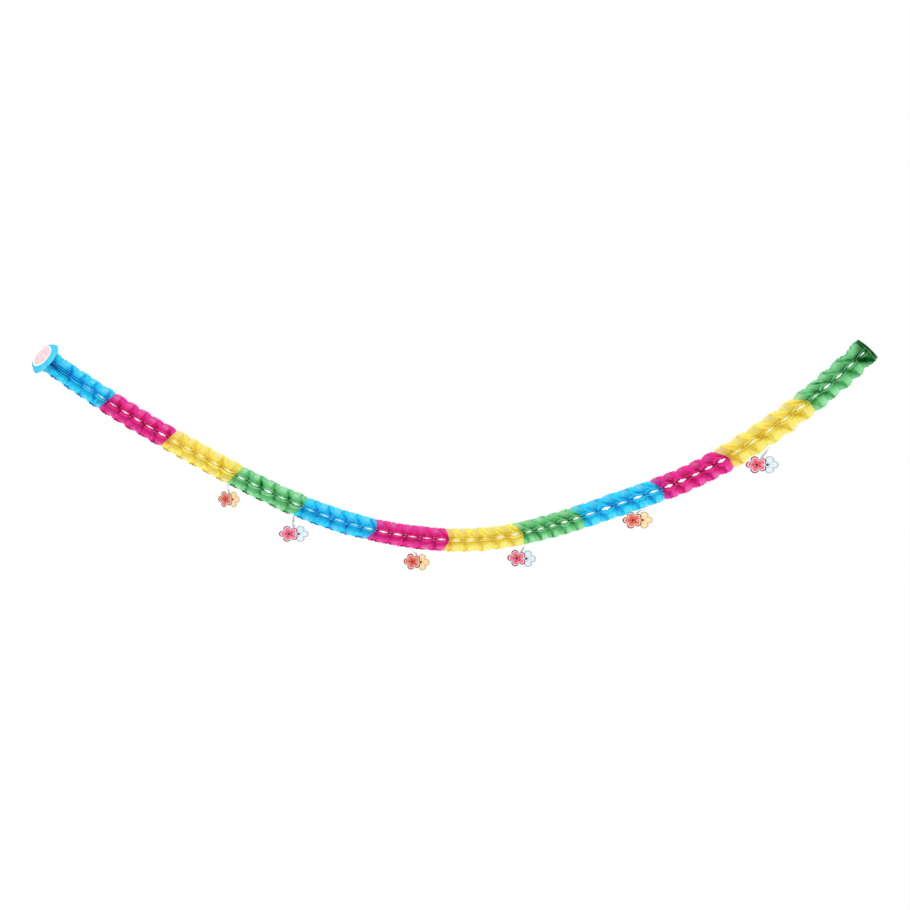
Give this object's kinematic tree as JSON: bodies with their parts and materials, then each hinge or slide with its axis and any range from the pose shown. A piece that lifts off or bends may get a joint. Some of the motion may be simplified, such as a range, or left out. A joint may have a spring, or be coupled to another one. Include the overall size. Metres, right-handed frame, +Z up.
{
  "type": "paper garland",
  "caption": "Hanging honeycomb tissue garland in bands of blue, pink, yellow and green, with round end cards and die-cut flower cards on clear strips.",
  "frame": {"origin": "middle of the left end card's outer face, where the garland is fixed up", "axes": "+X along the span towards the right end, +Z up, -Y towards the viewer"},
  "size_m": [3.6622, 0.1814, 0.9989],
  "materials": {
    "blue_tissue": "matte",
    "pink_tissue": "matte",
    "yellow_tissue": "matte",
    "green_tissue": "matte",
    "end_card": "satin",
    "red_flower_card": "satin",
    "pink_flower_card": "satin",
    "clear_film": "gloss"
  },
  "bodies": {
    "root": {"blue_tissue_1": "blue_tissue", "pink_tissue_1": "pink_tissue", "yellow_tissue_1": "yellow_tissue", "green_tissue_1": "green_tissue", "blue_tissue_2": "blue_tissue", "pink_tissue_2": "pink_tissue", "yellow_tissue_2": "yellow_tissue", "green_tissue_2": "green_tissue", "blue_tissue_3": "blue_tissue", "pink_tissue_3": "pink_tissue", "yellow_tissue_3": "yellow_tissue", "green_tissue_3": "green_tissue", "left_end_card": "end_card", "right_end_card": "end_card", "flower_card_1": "red_flower_card", "hanger_strip_1": "clear_film", "flower_card_2": "pink_flower_card", "hanger_strip_2": "clear_film", "flower_card_3": "red_flower_card", "hanger_strip_3": "clear_film", "flower_card_4": "pink_flower_card", "hanger_strip_4": "clear_film", "flower_card_5": "red_flower_card", "hanger_strip_5": "clear_film", "flower_card_6": "pink_flower_card", "hanger_strip_6": "clear_film"}
  },
  "joints": []
}
